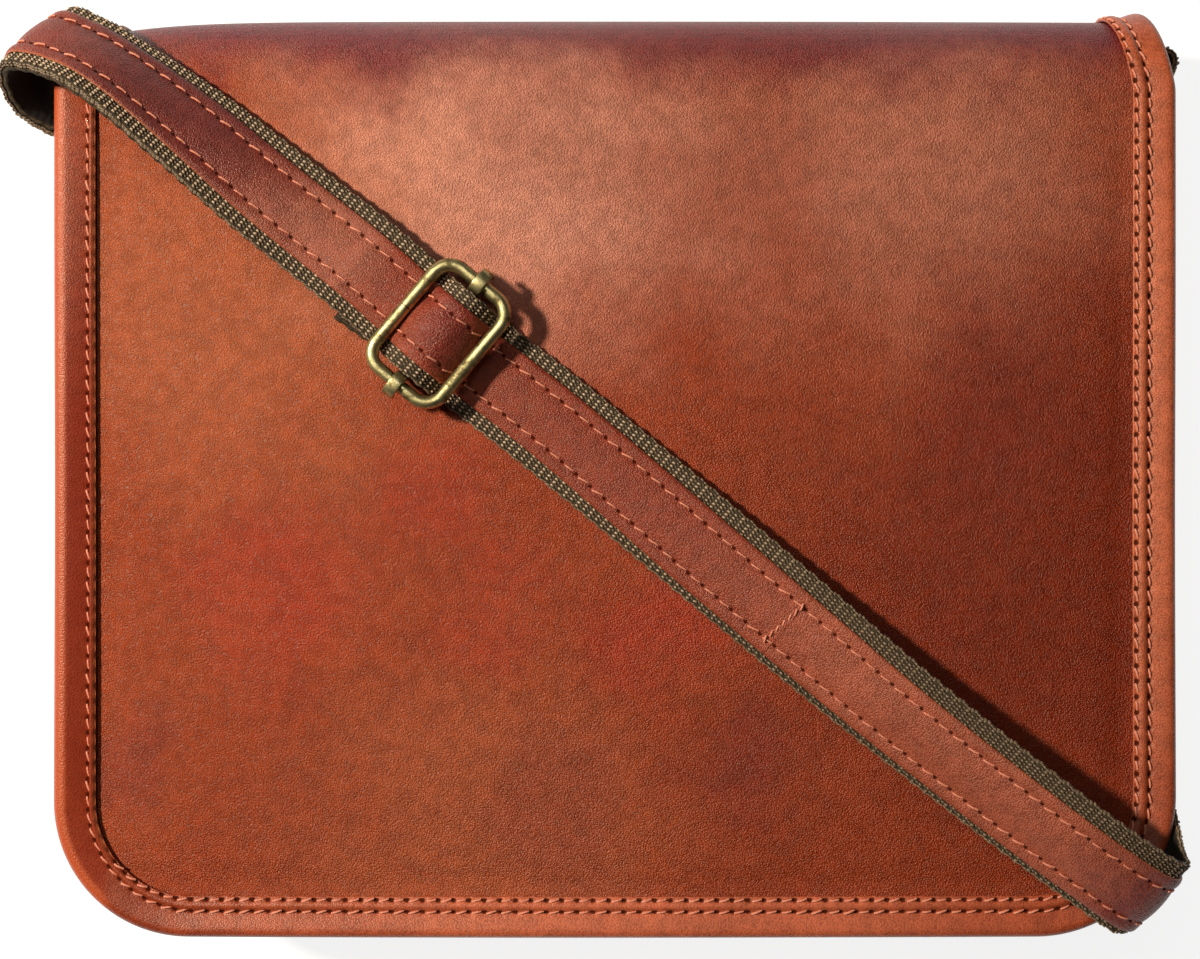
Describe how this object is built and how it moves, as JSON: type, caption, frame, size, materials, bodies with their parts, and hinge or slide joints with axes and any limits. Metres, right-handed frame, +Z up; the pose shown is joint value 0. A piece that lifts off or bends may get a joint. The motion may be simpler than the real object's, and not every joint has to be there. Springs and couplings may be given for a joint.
{
  "type": "leather messenger bag",
  "caption": "Leather messenger bag lying on its back: full flap with a padded stitched binding, open pouch, webbing shoulder strap faced with leather, brass slider, side rings.",
  "frame": {"origin": "centre of the back's flat resting face", "axes": "+X to the right seen from the flap, +Y towards the bag's top, +Z up out of the flap"},
  "size_m": [0.3011, 0.2382, 0.0649],
  "materials": {
    "body_leather": "semi-gloss, fine pebble grain",
    "binding_leather": "semi-gloss, soft",
    "strap_leather": "semi-gloss, soft",
    "webbing": "matt, coarse weave",
    "brass": "antique, worn"
  },
  "bodies": {
    "root": {"back_and_flap": "body_leather", "edge_binding": "binding_leather", "front_panel": "body_leather", "gusset": "body_leather", "strap_webbing": "webbing", "strap_leather_long": "strap_leather", "strap_leather_short": "strap_leather", "slider_frame": "brass", "slider_bar": "brass", "ring_left": "brass", "ring_right": "brass", "tab_left": "binding_leather", "tab_right": "binding_leather"}
  },
  "joints": []
}
